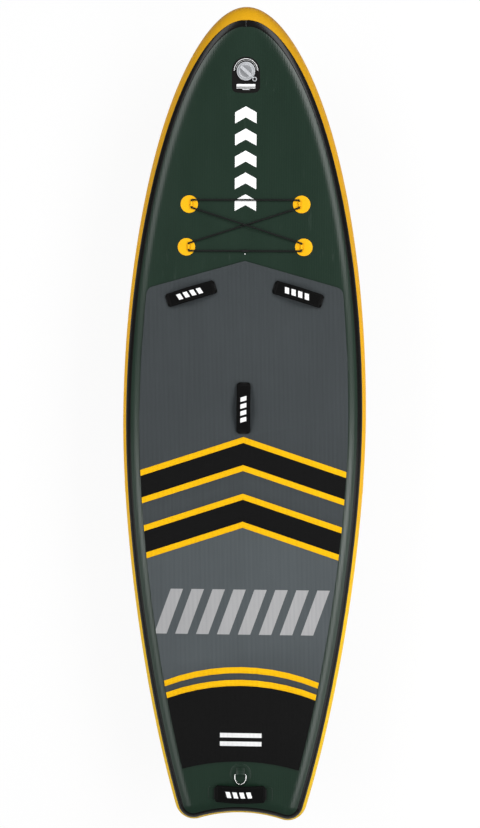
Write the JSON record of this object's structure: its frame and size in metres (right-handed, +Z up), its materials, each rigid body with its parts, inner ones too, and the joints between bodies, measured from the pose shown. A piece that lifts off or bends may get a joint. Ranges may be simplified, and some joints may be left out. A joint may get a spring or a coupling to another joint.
{
  "type": "stand-up paddle board",
  "caption": "Inflatable stand-up paddle board with a grooved foam deck pad, padded carry handles, bungee lacing, leash ring, capped inflation valve, slide-in centre fin and side fins.",
  "frame": {"origin": "centre of the flat bottom, halfway between nose and tail", "axes": "+Y towards the nose, +X to the board's right seen from above, +Z up through the deck"},
  "size_m": [0.876, 2.896, 0.4704],
  "materials": {
    "drop_stitch_white": "matte",
    "pvc_green": "satin",
    "pvc_yellow": "satin",
    "pvc_black": "satin",
    "foam_grey": "matte",
    "foam_black": "matte",
    "foam_yellow": "matte",
    "neoprene_black": "matte",
    "webbing_black": "matte",
    "elastic_black": "matte",
    "valve_grey": "satin",
    "seal_rubber": "matte",
    "stainless": "satin",
    "brass": "satin",
    "fin_black": "satin"
  },
  "bodies": {
    "hull": {"air_chamber": "drop_stitch_white", "deck_skin": "pvc_green", "bottom_skin": "pvc_green", "leash_patch": "pvc_green", "leash_tab": "pvc_green", "handle_tail_patch": "pvc_green", "fin_box_patch": "pvc_green", "rail_strip": "pvc_yellow", "bungee_patch_front_left": "pvc_yellow", "bungee_patch_front_right": "pvc_yellow", "bungee_patch_rear_left": "pvc_yellow", "bungee_patch_rear_right": "pvc_yellow", "deck_seam_tape": "pvc_black", "bottom_seam_tape": "pvc_black", "valve_label": "pvc_black", "handle_front_left_patch": "pvc_black", "handle_front_right_patch": "pvc_black", "handle_centre_patch": "pvc_black", "pad_grey_front": "foam_grey", "pad_grey_middle": "foam_grey", "pad_grey_rear": "foam_grey", "pad_grey_between_arcs": "foam_grey", "pad_chevron_front": "foam_black", "pad_chevron_rear": "foam_black", "pad_tail": "foam_black", "pad_stripe_1": "foam_yellow", "pad_stripe_2": "foam_yellow", "pad_stripe_3": "foam_yellow", "pad_stripe_4": "foam_yellow", "pad_arc_upper": "foam_yellow", "pad_arc_lower": "foam_yellow", "handle_front_left_grip": "neoprene_black", "handle_front_right_grip": "neoprene_black", "handle_centre_grip": "neoprene_black", "handle_tail_grip": "neoprene_black", "handle_front_left_strap": "webbing_black", "handle_front_right_strap": "webbing_black", "handle_centre_strap": "webbing_black", "handle_tail_strap": "webbing_black", "bungee_cord": "elastic_black", "bungee_joiner": "seal_rubber", "valve_gasket": "seal_rubber", "valve_body": "valve_grey", "valve_back_nut": "valve_grey", "valve_spring": "stainless", "fin_box": "fin_black", "side_fin_left": "fin_black", "side_fin_right": "fin_black"},
    "valve_tether": {"valve_tether_ring": "valve_grey"},
    "valve_cap": {"valve_cap": "valve_grey", "valve_cap_seal": "seal_rubber"},
    "valve_plunger": {"valve_plunger": "fin_black"},
    "leash_ring": {"leash_ring": "stainless"},
    "centre_fin": {"centre_fin": "fin_black", "fin_pin": "brass", "fin_nut_plate": "stainless"},
    "fin_screw": {"fin_screw": "stainless"}
  },
  "joints": [
    {"name": "valve_tether_turn", "type": "hinge", "parent": "hull", "child": "valve_tether", "pos_m": [0, 1.218, 0.20773], "axis": [0, -0.1852, 0.9827], "continuous": true},
    {"name": "valve_cap_lift", "type": "slide", "parent": "valve_tether", "child": "valve_cap", "axis": [0, -0.1852, 0.9827], "range_m": [0, 0.03]},
    {"name": "valve_plunger_push", "type": "slide", "parent": "hull", "child": "valve_plunger", "axis": [0, 0.1852, -0.9827], "range_m": [0, 0.004], "stiffness_N_per_m": 60, "springref_m": -0.004, "deforming": ["valve_spring"]},
    {"name": "leash_ring_swing", "type": "hinge", "parent": "hull", "child": "leash_ring", "pos_m": [0, -1.269, 0.15555], "axis": [-1, 0, 0], "range_deg": [0, 160]},
    {"name": "centre_fin_slide", "type": "slide", "parent": "hull", "child": "centre_fin", "axis": [0, 1, 0], "range_m": [-0.03, 0.03]},
    {"name": "fin_screw_turn", "type": "hinge", "parent": "centre_fin", "child": "fin_screw", "pos_m": [0, -1.02775, -0.0303], "axis": [0, 0, 1], "continuous": true}
  ]
}
